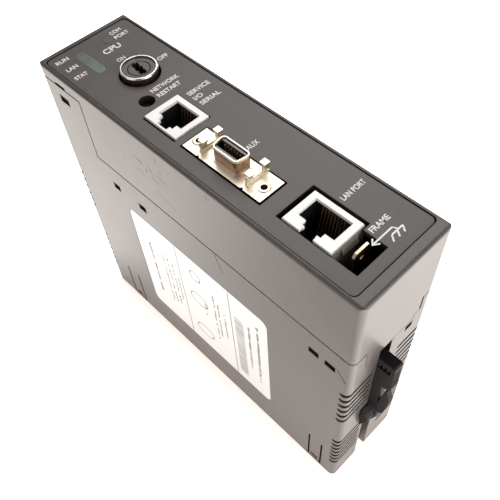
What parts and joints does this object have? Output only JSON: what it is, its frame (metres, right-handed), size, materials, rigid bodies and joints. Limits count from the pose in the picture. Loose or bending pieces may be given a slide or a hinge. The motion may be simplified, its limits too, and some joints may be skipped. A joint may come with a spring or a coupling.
{
  "type": "plc module",
  "caption": "Single-slot rack controller module with a key switch, serial and network ports, an auxiliary socket and a rear release lever.",
  "frame": {"origin": "centre of the flat rear seating face, the face that meets the rack's backplane", "axes": "+Z out of the front panel (the module's depth), +Y along its height towards the status lamps, +X across its width, away from the label side"},
  "size_m": [0.034, 0.1368, 0.1256],
  "materials": {
    "housing": "fine moulded texture",
    "cap": "fine moulded texture",
    "panel": "fine moulded texture",
    "cover": "moulded",
    "label": "printed, satin",
    "lens": "translucent, satin",
    "black_plastic": "moulded",
    "lamp": "clear domed",
    "lock_chrome": "bright plated",
    "lock_grey": "satin",
    "steel": "zinc plated",
    "jack_white": "semi-gloss",
    "contact_gold": "gold flash",
    "tin_plate": "tinned",
    "nickel_plate": "bright nickel, warm",
    "insulator_grey": "moulded",
    "board_green": "solder mask over glass epoxy",
    "chip_black": "moulded epoxy",
    "capacitor_sleeve": "shrunk sleeve",
    "lever_black": "moulded, satin"
  },
  "bodies": {
    "module": {"rear_housing": "housing", "rear_cover": "cover", "front_cap": "cap", "faceplate": "panel", "side_label": "label", "status_lens": "lens", "port_lens": "lens", "lamp_holder": "black_plastic", "status_lamps": "lamp", "port_lamp": "lamp", "lock_barrel": "lock_chrome", "lock_face": "lock_grey", "lock_nut": "steel", "lock_bracket": "steel", "key_switch_block": "black_plastic", "restart_switch": "black_plastic", "serial_jack": "jack_white", "serial_contacts": "contact_gold", "lan_jack": "jack_white", "lan_shield": "tin_plate", "lan_contacts": "contact_gold", "aux_shell": "nickel_plate", "aux_base": "black_plastic", "aux_insulator": "insulator_grey", "aux_contacts": "contact_gold", "aux_clips": "nickel_plate", "aux_eyelets": "nickel_plate", "ground_blade": "tin_plate", "main_board": "board_green", "network_board": "board_green", "board_posts": "nickel_plate", "board_screws": "steel", "board_header": "black_plastic", "header_socket": "black_plastic", "processor": "chip_black", "processor_leads": "tin_plate", "memory_chips": "chip_black", "network_chip": "chip_black", "line_transformer": "chip_black", "crystals": "steel", "capacitors": "capacitor_sleeve", "bus_connector": "black_plastic", "bus_contacts": "contact_gold", "lever_pin": "steel", "lever_spring": "steel"},
    "lever": {"release_lever": "lever_black"},
    "key": {"key_plug": "lock_grey", "key_cam": "steel"},
    "restart": {"restart_button": "black_plastic"}
  },
  "joints": [
    {"name": "lever_press", "type": "hinge", "parent": "module", "child": "lever", "pos_m": [-0.0024, -0.0618, 0.058], "axis": [1, 0, 0], "range_deg": [-8, 0], "stiffness_Nm_per_rad": 0.1, "springref_deg": 17.19},
    {"name": "key_turn", "type": "hinge", "parent": "module", "child": "key", "pos_m": [0.0014, 0.0367, 0.1219], "axis": [0, 0, 1], "range_deg": [-90, 0]},
    {"name": "restart_press", "type": "slide", "parent": "module", "child": "restart", "axis": [0, 0, -1], "range_m": [0, 0.0006], "stiffness_N_per_m": 400, "springref_m": -0.001}
  ]
}
